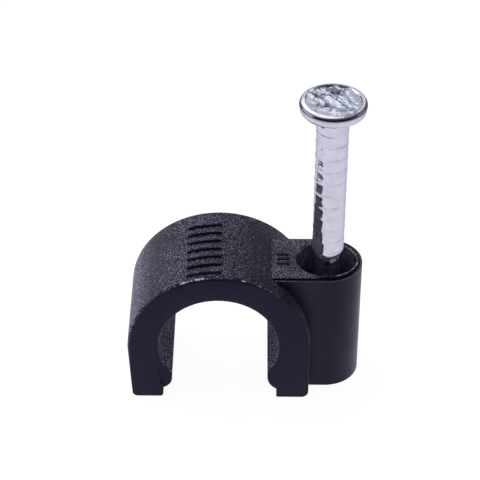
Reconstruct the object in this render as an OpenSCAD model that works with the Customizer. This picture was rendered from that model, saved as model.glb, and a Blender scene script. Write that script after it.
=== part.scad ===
// Nail-in cable clip: a moulded plastic hook with a nail boss, and the hardened nail that waits in it.
// Millimetres. The origin is the centre of the cable seat, at half the hook's depth.
// +Y runs along the cable, and +Z points away from the wall, along the nail.

/* [Hook] */
// Diameter of the cable that the seat holds
cable_d = 7; // [5:0.5:14]
// How much smaller than the cable the seat's radius is, so that the hook grips
seat_pinch = 0.1; // [0:0.02:0.2]
// Gap between the round of the seat and the wall face
seat_lift = 0.27; // [0:0.01:0.4]
// Thickness of the hook's wall at the legs
wall = 1.74; // [1.4:0.02:2.5]
// Thickness of the hook's wall at the crown
crown_wall = 1.6; // [1.3:0.02:2.5]
// Depth of the hook along the cable
hook_depth = 6.14; // [4.6:0.02:12]
// Inward lean of the free leg's outer face at the foot
leg_lean = 0.2; // [0:0.02:0.4]
// Corner radius at the foot of the free leg
free_corner_r = 0.3; // [0.1:0.05:0.6]
// Corner radius at the foot of the leg beside the boss
boss_corner_r = 0.4; // [0.1:0.05:0.6]

/* [Lips] */
// Reach of the free leg's lip into the seat, as a share of the seat's radius
free_lip = 0.2175; // [0.17:0.0005:0.26]
// Reach of the boss leg's lip into the seat, as a share of the seat's radius
boss_lip = 0.1825; // [0.16:0.0005:0.26]
// Bite of the lips into the seated cable
lip_bite = 0.08; // [0.04:0.01:0.09]
// Angle below the seat's widest level where a lip's ramp leaves the seat
ramp_angle = 20; // [18:1:24]
// Step from a lip's crest back to the foot
foot_step = 0.52; // [0.4:0.01:0.6]
// Height of the foot below a lip
foot_h = 0.62; // [0.4:0.02:0.8]
// Share of a lip's height that its round underside takes
under_share = 0.68; // [0.6:0.01:0.85]

/* [Nail boss] */
// Gap between the hook's outer wall and the axis of the nail
nail_gap = 0.94; // [0.8:0.02:2]
// Diameter of the mouth of the nail hole
mouth_d = 3.4; // [2.8:0.1:4.4]
// Width of the rim between the mouth and the boss's edge
rim = 0.27; // [0.22:0.02:0.8]
// Drop of the boss's top below the crown of the hook
boss_drop = 1; // [0.5:0.05:1.6]
// Step from the boss's side in to the side of the web that joins it to the hook
web_inset = 0.02; // [0.01:0.01:0.4]
// Radius of the boss's top edge
boss_edge_r = 0.18; // [0.05:0.01:0.2]
// Length of the tight part of the nail hole
grip_h = 3; // [2:0.1:3.5]
// Radial clearance round the nail in the tight part of its hole
nail_clearance = 0.03; // [0.01:0.01:0.1]
// Width of the bevel where the hole leaves the base
exit_bevel = 0.2; // [0.05:0.05:0.4]

/* [Nail] */
// Length of the nail
nail_length = 18; // [16:0.5:30]
// Diameter of the shank
nail_d = 1.8; // [1.4:0.05:1.9]
// Diameter of the head
head_d = 3.65; // [3.2:0.05:4.6]
// Height of the upright rim of the head
head_rim_h = 0.16; // [0.1:0.02:0.5]
// Radius of the head's top edge
head_edge_r = 0.18; // [0.05:0.01:0.2]
// Half angle of the cone under the head
head_cone_angle = 43; // [35:1:55]
// Gap between the nail's tip and the wall face
tip_recess = 0.35; // [0:0.05:1]
// Angle of the point's facets from the nail's axis
point_angle = 20; // [14:1:30]
// Distance between two grip rings of the shank
ring_pitch = 0.78; // [0.5:0.02:1.2]
// Depth of the groove above a ring
ring_depth = 0.05; // [0.02:0.01:0.1]
// Height of the step at the top of a ring
ring_step = 0.12; // [0.05:0.01:0.2]
// Plain shank below the head and above the point
plain_shank = 0.6; // [0.2:0.1:2]

/* [Hidden] */
$fn = 96;

// Overlap of a cutting shape past the face that it cuts
past = 1;
facets = 4;
seat_r = cable_d / 2 - seat_pinch;
seat_h = seat_r + seat_lift;
lip_r = seat_r - lip_bite;
outer_r = seat_r + wall;
crown_h = seat_h + seat_r + crown_wall;
outer_h = crown_h - outer_r;
nail_x = outer_r + nail_gap;
boss_h = crown_h - boss_drop;
boss_r = mouth_d / 2 + rim;
nail_r = nail_d / 2;
hole_r = nail_r + nail_clearance;
head_r = head_d / 2;
head_cone_h = (head_r - nail_r) / tan(head_cone_angle);
head_h = head_cone_h + head_rim_h + head_edge_r;
head_edge_z = nail_length - head_edge_r;
point_h = nail_r / tan(point_angle);
ring_top = nail_length - head_h - plain_shank;
ring_count = floor((ring_top - point_h - plain_shank) / ring_pitch);

function crest_x(share) = seat_r * (1 - share);
function crest_top(share) = seat_h - sqrt(lip_r * lip_r - crest_x(share) * crest_x(share));
function crest_low(share) = foot_h + under_share * (crest_top(share) - foot_h);
function foot_x(share) = crest_x(share) + foot_step;

// Lowers the wall face from z = 0 to its place under the seat's centre
module from_wall() {
    translate([0, 0, -seat_h]) children();
}

// Extrudes an outline drawn in X and Z along the cable
module along_cable(length) {
    rotate([90, 0, 0]) linear_extrude(length, center = true) children();
}

// One leg on the +X side, with a lean at the foot and a rounded outer corner
module leg_outline(lean, corner_r) {
    tilt = atan(lean / outer_h);
    corner_x = outer_r - lean * (1 - corner_r / outer_h) - corner_r / cos(tilt);
    polygon([
        [0, outer_h],
        [outer_r, outer_h],
        [corner_x + corner_r * cos(tilt), corner_r * (1 - sin(tilt))],
        [corner_x, corner_r],
        [corner_x, 0],
        [0, 0]
    ]);
    translate([corner_x, corner_r]) circle(corner_r);
}

// The lip on the +X side: a ramp above, a flat crest, and a round underside
module lip_outline(share) {
    rise = crest_low(share) - foot_h;
    under_r = (foot_step * foot_step + rise * rise) / (2 * foot_step);
    mid_wall = seat_r + wall / 2;
    ramp_top = seat_h - seat_r * sin(ramp_angle);
    polygon([
        [crest_x(share), crest_low(share)],
        [crest_x(share), crest_top(share)],
        [seat_r * cos(ramp_angle), ramp_top],
        [mid_wall, ramp_top],
        [mid_wall, foot_h],
        [foot_x(share), foot_h]
    ]);
    intersection() {
        translate([crest_x(share) + under_r, crest_low(share)]) circle(under_r);
        translate([crest_x(share), foot_h]) square([foot_step, rise]);
    }
}

// The way in between the feet, on the +X side
module foot_gap(share) {
    translate([-past, -past]) square([foot_x(share) + past, crest_top(share) + past]);
}

// The seat and the way in to it from the wall face
module seat_outline() {
    translate([0, seat_h]) circle(seat_r);
    foot_gap(boss_lip);
    mirror([1, 0]) foot_gap(free_lip);
}

// The hook's section: an arch on two legs, with a lip inside each foot
module hook_outline() {
    difference() {
        union() {
            translate([0, outer_h]) circle(outer_r);
            leg_outline(0, boss_corner_r);
            mirror([1, 0]) leg_outline(leg_lean, free_corner_r);
        }
        seat_outline();
        translate([-outer_r - past, -outer_r - past]) square([2 * (outer_r + past), outer_r + past]);
    }
    lip_outline(boss_lip);
    mirror([1, 0]) lip_outline(free_lip);
}

// Half section of the boss, or of the narrower web, with a round top edge
module boss_half_section(half) {
    edge_x = half - boss_edge_r;
    edge_z = boss_h - boss_edge_r;
    square([half, edge_z]);
    square([edge_x, boss_h]);
    translate([edge_x, edge_z]) intersection() {
        circle(boss_edge_r);
        square(boss_edge_r);
    }
}

// The nail boss with the web between it and the hook
module boss() {
    difference() {
        union() {
            translate([nail_x, 0, 0]) rotate_extrude() boss_half_section(boss_r);
            rotate([90, 0, 90]) linear_extrude(nail_x) {
                boss_half_section(boss_r - web_inset);
                mirror([1, 0]) boss_half_section(boss_r - web_inset);
            }
        }
        along_cable(2 * (boss_r + past)) seat_outline();
    }
}

// The nail hole: a deep funnel, a tight part that holds the nail, and a bevel at the base
module nail_hole() {
    translate([nail_x, 0, 0]) rotate_extrude() polygon([
        [0, -past],
        [hole_r + exit_bevel + past, -past],
        [hole_r, exit_bevel],
        [hole_r, grip_h],
        [mouth_d / 2, boss_h],
        [mouth_d / 2, boss_h + past],
        [0, boss_h + past]
    ]);
}

// The moulded clip: hook, web and boss in one piece
module clip_body() {
    color([0.10, 0.10, 0.12]) from_wall() difference() {
        union() {
            along_cable(hook_depth) hook_outline();
            boss();
        }
        nail_hole();
    }
}

// Radius and height of the two corners of one grip ring, counted from the head down
function ring_corners(i) = [
    [nail_r - ring_depth, ring_top - i * ring_pitch],
    [nail_r, ring_top - i * ring_pitch - ring_step]
];

// Half section of the nail from its axis, with the tip at z = 0 and the shank still blunt
module nail_half_section() {
    polygon(concat(
        [
            [0, nail_length],
            [head_r - head_edge_r, nail_length],
            [head_r - head_edge_r, head_edge_z],
            [head_r, head_edge_z],
            [head_r, head_edge_z - head_rim_h],
            [nail_r, nail_length - head_h],
            [nail_r, ring_top]
        ],
        [for (i = [0 : ring_count - 1]) each ring_corners(i)],
        [
            [nail_r, point_h],
            [nail_r, 0],
            [0, 0]
        ]
    ));
}

// The round top edge of the head
module head_edge() {
    translate([0, 0, head_edge_z]) rotate_extrude() intersection() {
        translate([head_r - head_edge_r, 0]) circle(head_edge_r);
        translate([nail_r, 0]) square([head_r, head_r]);
    }
}

// Four flats that cut the blunt end to a point
module point_flats() {
    reach = 2 * point_h;
    for (i = [0 : facets - 1])
        rotate([0, 0, i * 360 / facets + 45])
            rotate([0, point_angle, 0])
                translate([0, -reach, -reach]) cube([reach, 2 * reach, 3 * reach]);
}

// The nail: a countersunk head, a ringed shank and a four-sided point
module nail() {
    color([0.78, 0.79, 0.82]) from_wall() translate([nail_x, 0, tip_recess]) difference() {
        union() {
            rotate_extrude() nail_half_section();
            head_edge();
        }
        point_flats();
    }
}

clip_body();
nail();
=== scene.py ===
"""Looks of a nail-in cable clip: a moulded black hook with a nail boss, and the zinc-plated nail in it.

The pieces are modelled in millimetres on a bench at the wall face, and are then carried to their place
in the CAD frame, in metres. The seat's centre is the frame's origin.
"""
import logging
import math
import random
from dataclasses import dataclass, field
from enum import Enum
from typing import Callable, Iterable, NamedTuple, Sequence

import bmesh
import bpy
from mathutils import Matrix, Vector, noise


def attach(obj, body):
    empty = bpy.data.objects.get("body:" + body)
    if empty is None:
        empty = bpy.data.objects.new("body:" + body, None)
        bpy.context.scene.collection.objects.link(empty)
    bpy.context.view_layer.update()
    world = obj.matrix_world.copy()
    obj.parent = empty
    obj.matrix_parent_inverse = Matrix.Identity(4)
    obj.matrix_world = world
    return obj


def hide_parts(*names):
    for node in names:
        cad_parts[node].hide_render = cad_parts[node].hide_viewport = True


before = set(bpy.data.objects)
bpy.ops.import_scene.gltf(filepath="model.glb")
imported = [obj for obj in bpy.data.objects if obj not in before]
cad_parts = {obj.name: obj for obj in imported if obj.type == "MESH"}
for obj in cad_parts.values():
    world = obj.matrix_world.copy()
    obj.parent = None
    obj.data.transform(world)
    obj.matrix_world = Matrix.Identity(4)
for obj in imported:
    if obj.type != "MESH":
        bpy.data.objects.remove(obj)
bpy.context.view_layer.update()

log = logging.getLogger("cable_clip")

MM = 0.001
BODY = "root"
# Height of the seat's centre above the wall face, and its distance from the nail's axis, in millimetres.
SEAT_H = 3.67
NAIL_X = 6.08
# Two places on the bench nearer than this, in millimetres, are the same.
SAME = 1e-3

Point = tuple[float, float, float]
Flat = tuple[float, float]
Colour = tuple[float, float, float]


class Slot(Enum):
    """The record's material slots."""

    PLASTIC = "black_plastic"
    STEEL = "zinc_steel"


class Face(Enum):
    """The finishes on the moulding, in the order of its material slots. EDGE is painted highlight, SEAT
    painted light, BORE painted reflection and highlight, SHADE painted shade, and the pale specks of GRAINED
    and TAB are painted glints.
    """

    SATIN = 0
    GRAINED = 1
    EDGE = 2
    SEAT = 3
    GLOSS = 4
    BORE = 5
    SHADE = 6
    BOSS = 7
    TAB = 8


class Pick(Enum):
    """What a selection on the bench holds."""

    EDGES = "EDGE"
    FACES = "FACE"


class Join(Enum):
    """How a tool works on a piece."""

    ADD = "UNION"
    CUT = "DIFFERENCE"


class Mark(NamedTuple):
    """A ridge or a gouge on the struck face: its two ends, its rise and its half width, in millimetres."""

    x0: float
    y0: float
    x1: float
    y1: float
    rise: float
    width: float


def clamp(value: float) -> float:
    """Keeps a value between 0 and 1."""
    return max(0.0, min(1.0, value))


def arc(centre: Flat, radius: float, start: float, stop: float, steps: int) -> list[Flat]:
    """Points along an arc.

    Args:
        centre: The arc's centre.
        radius: The arc's radius.
        start: First angle, in degrees.
        stop: Last angle, in degrees.
        steps: Number of steps between the two.

    Returns:
        The points, with both ends.
    """
    angles = [math.radians(start + (stop - start) * i / steps) for i in range(steps + 1)]
    return [(centre[0] + radius * math.cos(a), centre[1] + radius * math.sin(a)) for a in angles]


class Bench:
    """Modelling by hand: short names for the operators that shape a mesh."""

    @staticmethod
    def clear() -> None:
        """Leaves edit mode and deselects everything."""
        if bpy.context.object and bpy.context.object.mode != "OBJECT":
            bpy.ops.object.mode_set(mode="OBJECT")
        bpy.ops.object.select_all(action="DESELECT")

    @staticmethod
    def activate(piece: bpy.types.Object) -> None:
        """Selects one piece alone and makes it active.

        Args:
            piece: The piece to work on.
        """
        Bench.clear()
        piece.select_set(True)
        bpy.context.view_layer.objects.active = piece

    @staticmethod
    def pen(name: str, points: Sequence[Point]) -> bpy.types.Object:
        """Draws a line from point to point, and stays in edit mode with its last point selected.

        Args:
            name: The new piece's name.
            points: The line's points, in millimetres.

        Returns:
            The new piece.
        """
        Bench.clear()
        bpy.ops.mesh.primitive_plane_add(size=1.0, location=(0.0, 0.0, 0.0))
        piece = bpy.context.object
        piece.name = name
        piece.data.name = name
        bpy.ops.object.mode_set(mode="EDIT")
        bpy.ops.mesh.select_mode(type="VERT")
        bpy.ops.mesh.select_all(action="SELECT")
        bpy.ops.mesh.merge(type="CENTER")
        bpy.ops.transform.translate(value=points[0])
        for here, there in zip(points, points[1:]):
            step = tuple(b - a for a, b in zip(here, there))
            bpy.ops.mesh.extrude_vertices_move(TRANSFORM_OT_translate={"value": step})
        return piece

    @staticmethod
    def plate(name: str, points: Sequence[Point], depth: Point) -> bpy.types.Object:
        """Draws a closed outline, fills it and extrudes it to a solid.

        Args:
            name: The new piece's name.
            points: The outline, in order, without its first point at the end.
            depth: The way that the face is extruded.

        Returns:
            The solid, in object mode.
        """
        piece = Bench.pen(name, points)
        bpy.ops.mesh.select_all(action="SELECT")
        bpy.ops.mesh.edge_face_add()
        bpy.ops.mesh.extrude_region_move(TRANSFORM_OT_translate={"value": depth})
        bpy.ops.mesh.select_all(action="SELECT")
        bpy.ops.mesh.normals_make_consistent(inside=False)
        Bench.clear()
        return piece

    @staticmethod
    def turn(name: str, profile: Sequence[Flat], axis_x: float, steps: int) -> bpy.types.Object:
        """Turns a profile about an upright axis, as on a lathe.

        Args:
            name: The new piece's name.
            profile: Radius and height of each point. The first and last have a radius of zero.
            axis_x: Where the axis stands along X.
            steps: The number of steps in a full turn.

        Returns:
            The turned solid, in object mode.
        """
        piece = Bench.pen(name, [(axis_x + r, 0.0, z) for r, z in profile])
        bpy.ops.mesh.select_all(action="SELECT")
        bpy.ops.mesh.spin(steps=steps, angle=2 * math.pi, center=(axis_x, 0.0, 0.0), axis=(0.0, 0.0, 1.0))
        bpy.ops.mesh.select_all(action="SELECT")
        bpy.ops.mesh.remove_doubles(threshold=1e-4)
        bpy.ops.mesh.normals_make_consistent(inside=False)
        Bench.clear()
        return piece

    @staticmethod
    def pick(piece: bpy.types.Object, kind: Pick, test: Callable[..., bool]) -> None:
        """Enters edit mode with the edges or faces selected that pass a test.

        Args:
            piece: The piece to work on.
            kind: Whether edges or faces are selected.
            test: Takes an edge or a face, and says whether it is selected.
        """
        Bench.activate(piece)
        bpy.ops.object.mode_set(mode="EDIT")
        bpy.ops.mesh.select_mode(type=kind.value)
        bpy.ops.mesh.select_all(action="DESELECT")
        mesh = bmesh.from_edit_mesh(piece.data)
        for element in mesh.edges if kind is Pick.EDGES else mesh.faces:
            element.select_set(test(element))
        bmesh.update_edit_mesh(piece.data)

    @staticmethod
    def slice(place: Point, normal: Point, cut_off: bool = False) -> None:
        """Cuts the mesh in edit mode along a plane.

        Args:
            place: A point on the plane.
            normal: The way that the plane faces.
            cut_off: Whether the part before the plane goes, and the cut is closed.
        """
        bpy.ops.mesh.select_all(action="SELECT")
        bpy.ops.mesh.bisect(plane_co=place, plane_no=normal, use_fill=cut_off, clear_outer=cut_off,
                            threshold=1e-5)

    @staticmethod
    def combine(piece: bpy.types.Object, tool: bpy.types.Object, how: Join) -> None:
        """Joins a tool to a piece or cuts it away, and removes the tool.

        Args:
            piece: The piece that stays.
            tool: The solid that is used up.
            how: Whether the tool is added or cut away.
        """
        Bench.activate(piece)
        step = piece.modifiers.new("combine", "BOOLEAN")
        step.operation = how.value
        step.solver = "EXACT"
        step.object = tool
        bpy.ops.object.modifier_apply(modifier=step.name)
        mesh = tool.data
        bpy.data.objects.remove(tool)
        bpy.data.meshes.remove(mesh)

    @staticmethod
    def soften(piece: bpy.types.Object, width: float, segments: int) -> None:
        """Rounds every sharp edge of a piece.

        Args:
            piece: The piece to work on.
            width: How wide the round edge is, in millimetres.
            segments: Number of strips across it.
        """
        Bench.activate(piece)
        step = piece.modifiers.new("soften", "BEVEL")
        step.width = width
        step.segments = segments
        step.limit_method = "ANGLE"
        step.angle_limit = math.radians(50.0)
        bpy.ops.object.modifier_apply(modifier=step.name)

    @staticmethod
    def row(piece: bpy.types.Object, count: int, pitch: float) -> list[bpy.types.Object]:
        """Copies a piece along the cable.

        Args:
            piece: The first of the row.
            count: How many the row has.
            pitch: The distance between two of them, in millimetres.

        Returns:
            The copies, and the first one after them.
        """
        copies = []
        for i in range(1, count):
            Bench.activate(piece)
            bpy.ops.object.duplicate()
            copy = bpy.context.object
            copy.location.y = i * pitch
            bpy.ops.object.transform_apply(location=True, rotation=False, scale=False)
            copies.append(copy)
        return [*copies, piece]

    @staticmethod
    def to_frame(piece: bpy.types.Object, smooth_angle: float) -> None:
        """Carries a finished piece from the bench to the CAD frame, and shades it.

        Args:
            piece: The piece, in millimetres above the wall face.
            smooth_angle: Edges blunter than this angle are shaded smooth, in degrees.
        """
        Bench.activate(piece)
        piece.location = (0.0, 0.0, -SEAT_H * MM)
        piece.scale = (MM, MM, MM)
        bpy.ops.object.transform_apply(location=True, rotation=True, scale=True)
        bpy.ops.object.shade_smooth_by_angle(angle=math.radians(smooth_angle))
        Bench.clear()


Socket = bpy.types.NodeSocket


class Graph:
    """A node tree that is written line by line."""

    def __init__(self, tree: bpy.types.NodeTree) -> None:
        """Keeps the tree and clears it."""
        self.tree = tree
        tree.nodes.clear()

    @staticmethod
    def material(name: str) -> tuple[bpy.types.Material, "Graph"]:
        """Makes an empty material.

        Args:
            name: The material's name.

        Returns:
            The material, and the graph of its nodes.
        """
        made = bpy.data.materials.new(name)
        made.use_nodes = True
        return made, Graph(made.node_tree)

    def node(self, kind: str, **settings: object) -> bpy.types.Node:
        """Adds a node.

        Args:
            kind: The node's type.
            settings: Its properties. A dict named sockets sets its input values by name or number.

        Returns:
            The node.
        """
        made = self.tree.nodes.new(kind)
        sockets = settings.pop("sockets", {})
        for name, value in settings.items():
            setattr(made, name, value)
        for name, value in sockets.items():
            made.inputs[name].default_value = value
        return made

    def link(self, source: Socket, target: Socket) -> None:
        """Joins an output to an input."""
        self.tree.links.new(source, target)

    def feed(self, value: object, target: Socket) -> None:
        """Gives an input its value.

        Args:
            value: An output, or a constant.
            target: The input.
        """
        if isinstance(value, Socket):
            self.link(value, target)
        else:
            target.default_value = value

    def math(self, operation: str, first: object, second: object) -> Socket:
        """Adds a Math node.

        Args:
            operation: What it does.
            first: An output or a number.
            second: An output or a number.

        Returns:
            Its result.
        """
        made = self.node("ShaderNodeMath", operation=operation)
        self.feed(first, made.inputs[0])
        self.feed(second, made.inputs[1])
        return made.outputs[0]

    def plus(self, first: object, second: object) -> Socket:
        """Adds two values."""
        return self.math("ADD", first, second)

    def minus(self, first: object, second: object) -> Socket:
        """Takes the second value from the first."""
        return self.math("SUBTRACT", first, second)

    def times(self, first: object, second: object) -> Socket:
        """Multiplies two values."""
        return self.math("MULTIPLY", first, second)

    def span(self, source: Socket, start: float, stop: float, low: float = 0.0, high: float = 1.0) -> Socket:
        """Maps one span of values to another, and stops at its ends.

        Args:
            source: The value.
            start: Where the value's span starts.
            stop: Where it stops.
            low: The result at the start.
            high: The result at the stop.

        Returns:
            The result.
        """
        made = self.node("ShaderNodeMapRange", sockets={
            "From Min": start, "From Max": stop, "To Min": low, "To Max": high})
        self.link(source, made.inputs["Value"])
        return made.outputs["Result"]

    def ramp(self, source: Socket, stops: Sequence[tuple[float, Colour]]) -> Socket:
        """Adds a colour ramp after a value.

        Args:
            source: The value.
            stops: Place and colour of each stop.

        Returns:
            The ramp's colour.
        """
        made = self.node("ShaderNodeValToRGB")
        bar = made.color_ramp.elements
        while len(bar) < len(stops):
            bar.new(0.5)
        for element, (place, colour) in zip(bar, stops):
            element.position = place
            element.color = (*colour, 1.0)
        self.link(source, made.inputs["Fac"])
        return made.outputs["Color"]

    def blend(self, factor: Socket, first: object, second: object) -> Socket:
        """Mixes two colours.

        Args:
            factor: The share of the second colour.
            first: An output or a colour.
            second: An output or a colour.

        Returns:
            The mixed colour.
        """
        made = self.node("ShaderNodeMix", data_type="RGBA")
        self.link(factor, made.inputs["Factor"])
        for name, value in (("A", first), ("B", second)):
            self.feed(value if isinstance(value, Socket) else (*value, 1.0), made.inputs[name])
        return made.outputs["Result"]

    def axes(self, vector: Socket) -> bpy.types.Node:
        """Adds a node that splits a vector.

        Args:
            vector: The vector.

        Returns:
            The node, with outputs X, Y and Z.
        """
        made = self.node("ShaderNodeSeparateXYZ")
        self.link(vector, made.inputs[0])
        return made

    def mapped(self, vector: Socket, **values: Point) -> Socket:
        """Moves or stretches a vector.

        Args:
            vector: The vector.
            values: The Mapping node's Location or Scale.

        Returns:
            The new vector.
        """
        made = self.node("ShaderNodeMapping", sockets=values)
        self.link(vector, made.inputs["Vector"])
        return made.outputs["Vector"]

    def noise(self, vector: Socket, scale: float, detail: float) -> Socket:
        """Adds a noise texture.

        Args:
            vector: Where it is read.
            scale: How fine it is.
            detail: Number of finer layers.

        Returns:
            The noise's value.
        """
        made = self.node("ShaderNodeTexNoise", sockets={"Scale": scale, "Detail": detail})
        self.link(vector, made.inputs["Vector"])
        return made.outputs["Fac"]

    def bump(self, height: Socket, distance: float) -> bpy.types.Node:
        """Adds a bump.

        Args:
            height: How high the surface stands, from 0 to 1.
            distance: The height of 1, in metres.

        Returns:
            The Bump node.
        """
        made = self.node("ShaderNodeBump", sockets={"Strength": 1.0, "Distance": distance})
        self.link(height, made.inputs["Height"])
        return made

    def show(self, shader: Socket, kind: str = "ShaderNodeOutputMaterial") -> None:
        """Ends the tree in its output node."""
        self.link(shader, self.node(kind).inputs["Surface"])


@dataclass(frozen=True)
class MouldGrain:
    """The spark-eroded grain that a mould leaves, for all finishes; where a finish makes its specks pale,
    they are painted glints. Lengths are in metres, in the frame.
    """

    pit_detail: float = 3.0
    pit_roughness: float = 0.6
    pit_height: float = 0.75
    fold_scale: float = 3200.0
    fold_distortion: float = 12.0
    fold_height: float = 0.08
    fold_mottle: float = 0.06
    comb_stretch: Point = (1.0, 0.5, 1.0)
    comb_scale: float = 13000.0
    comb_share: float = 0.6
    comb_lift: float = 0.8
    flank_x: Flat = (-0.0030, -0.0046)
    arch_z: Flat = (-0.0010, 0.0010)
    leg_z: Flat = (-0.0002, -0.0018)
    leg_calm: float = 0.9
    speck_span: Flat = (0.47, 0.68)
    smudge_shift: Point = (0.0012, 0.0031, 0.0)
    smudge_scale: float = 420.0
    smudge_span: Flat = (0.35, 0.65)
    smudge_share: float = 0.34
    arch_x: Flat = (-0.00514, 0.00514)
    # Painted light and shade across the arch, from the free flank (0) to the boss side (1): a lit flank, a
    # darker band, a lit crown and a shaded side towards the boss, as shares of pale on the specks.
    painted_light_across_arch: tuple[Flat, ...] = ((0.0, 0.82), (0.05, 0.78), (0.14, 0.46), (0.26, 0.64), (0.40, 0.72),
                                (0.60, 0.62), (0.75, 0.42), (1.0, 0.42))

    def skin(self, graph: Graph, enter: bpy.types.Node, share: Socket) -> Socket:
        """Adds the fine pits, which turn to a coarser comb on the arch's free flank.

        Args:
            graph: The group's graph.
            enter: The group's input node.
            share: How much of the comb there is.

        Returns:
            The height of the skin, about 0.5.
        """
        place = enter.outputs["Vector"]
        pits = graph.noise(place, 1.0, self.pit_detail)
        pits.node.inputs["Roughness"].default_value = self.pit_roughness
        graph.link(enter.outputs["Pit Scale"], pits.node.inputs["Scale"])
        comb = graph.noise(graph.mapped(place, Scale=self.comb_stretch), self.comb_scale, 2.0)
        skin = graph.plus(graph.times(pits, graph.minus(1.0, share)), graph.times(comb, share))
        lift = graph.plus(graph.times(share, self.comb_lift), 1.0)
        return graph.plus(graph.times(graph.minus(skin, 0.5), lift), 0.5)

    def smudges_and_painted_light(self, graph: Graph, axes: bpy.types.Node, smudge: Socket, flank: Socket) -> Socket:
        """Adds how pale the specks are: with painted light and shade across the arch, in smudges, and less
        down the free leg.

        Args:
            graph: The group's graph.
            axes: The place, split.
            smudge: The smudge mask.
            flank: The free flank's mask.

        Returns:
            The share of pale that a speck has.
        """
        # Painted light and shade across the arch, read off a ramp along X.
        across = graph.span(axes.outputs["X"], *self.arch_x)
        painted_light_across_arch = graph.ramp(across, [(place, (share, share, share)) for place, share in self.painted_light_across_arch])
        smudges_and_painted_light = graph.plus(graph.times(smudge, self.smudge_share), painted_light_across_arch)
        leg = graph.span(axes.outputs["Z"], *self.leg_z)
        spared = graph.times(graph.times(leg, flank), self.leg_calm)
        return graph.times(smudges_and_painted_light, graph.minus(1.0, spared))

    def make(self) -> bpy.types.NodeTree:
        """Builds the group: a height, a mask of pale specks under painted light and shade across the arch,
        and a mask of smudges.

        Returns:
            The shader node group.
        """
        group = bpy.data.node_groups.new("mould_grain", "ShaderNodeTree")
        group.interface.new_socket("Vector", in_out="INPUT", socket_type="NodeSocketVector")
        group.interface.new_socket("Pit Scale", in_out="INPUT", socket_type="NodeSocketFloat")
        for name in ("Height", "Speck", "Smudge"):
            group.interface.new_socket(name, in_out="OUTPUT", socket_type="NodeSocketFloat")
        graph = Graph(group)
        enter = graph.node("NodeGroupInput")
        leave = graph.node("NodeGroupOutput")
        place = enter.outputs["Vector"]
        axes = graph.axes(place)
        flank = graph.span(axes.outputs["X"], *self.flank_x, high=self.comb_share)
        skin = self.skin(graph, enter, graph.times(flank, graph.span(axes.outputs["Z"], *self.arch_z)))
        wave = graph.node("ShaderNodeTexWave", bands_direction="DIAGONAL", sockets={
            "Scale": self.fold_scale, "Distortion": self.fold_distortion, "Detail": 2.0, "Detail Scale": 0.8})
        graph.link(place, wave.inputs["Vector"])
        folds = wave.outputs["Fac"]
        height = graph.plus(graph.times(skin, self.pit_height), graph.times(folds, self.fold_height))
        graph.link(height, leave.inputs["Height"])
        blots = graph.noise(graph.mapped(place, Location=self.smudge_shift), self.smudge_scale, 3.0)
        smudge = graph.span(blots, *self.smudge_span)
        graph.link(smudge, leave.inputs["Smudge"])
        mottle = graph.plus(skin, graph.times(graph.minus(folds, 0.5), self.fold_mottle))
        speck = graph.span(mottle, *self.speck_span)
        graph.link(graph.times(speck, self.smudges_and_painted_light(graph, axes, smudge, flank)), leave.inputs["Speck"])
        return group


@dataclass(frozen=True)
class Plastic:
    """One finish of the black moulding; in finishes whose pale is far lighter than their dark, the pale
    specks are painted light.
    """

    name: str
    dark: Colour
    pale: Colour
    cover: Flat
    roughness: Flat
    specular: float
    pit_scale: float
    bump: float
    sheen: float = 0.0
    sheen_roughness: float = 0.3
    tint: Colour = (0.80, 0.78, 1.0)
    sheen_tint: Colour = (0.78, 0.72, 1.0)

    def make(self, grain: bpy.types.NodeTree) -> bpy.types.Material:
        """Builds the material.

        Args:
            grain: The mould grain group.

        Returns:
            The material.
        """
        material, graph = Graph.material(self.name)
        place = graph.node("ShaderNodeTexCoord").outputs["Object"]
        pits = graph.node("ShaderNodeGroup", node_tree=grain, sockets={"Pit Scale": self.pit_scale})
        graph.link(place, pits.inputs["Vector"])
        surface = graph.node("ShaderNodeBsdfPrincipled", sockets={
            "Specular IOR Level": self.specular, "Specular Tint": (*self.tint, 1.0),
            "Sheen Weight": self.sheen, "Sheen Roughness": self.sheen_roughness,
            "Sheen Tint": (*self.sheen_tint, 1.0)})
        colour = graph.ramp(pits.outputs["Speck"], [(self.cover[0], self.dark), (self.cover[1], self.pale)])
        graph.link(colour, surface.inputs["Base Color"])
        rough = graph.span(pits.outputs["Smudge"], 0.0, 1.0, *self.roughness)
        graph.link(rough, surface.inputs["Roughness"])
        bump = graph.bump(pits.outputs["Height"], self.bump)
        graph.link(bump.outputs["Normal"], surface.inputs["Normal"])
        graph.show(surface.outputs["BSDF"])
        return material


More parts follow.
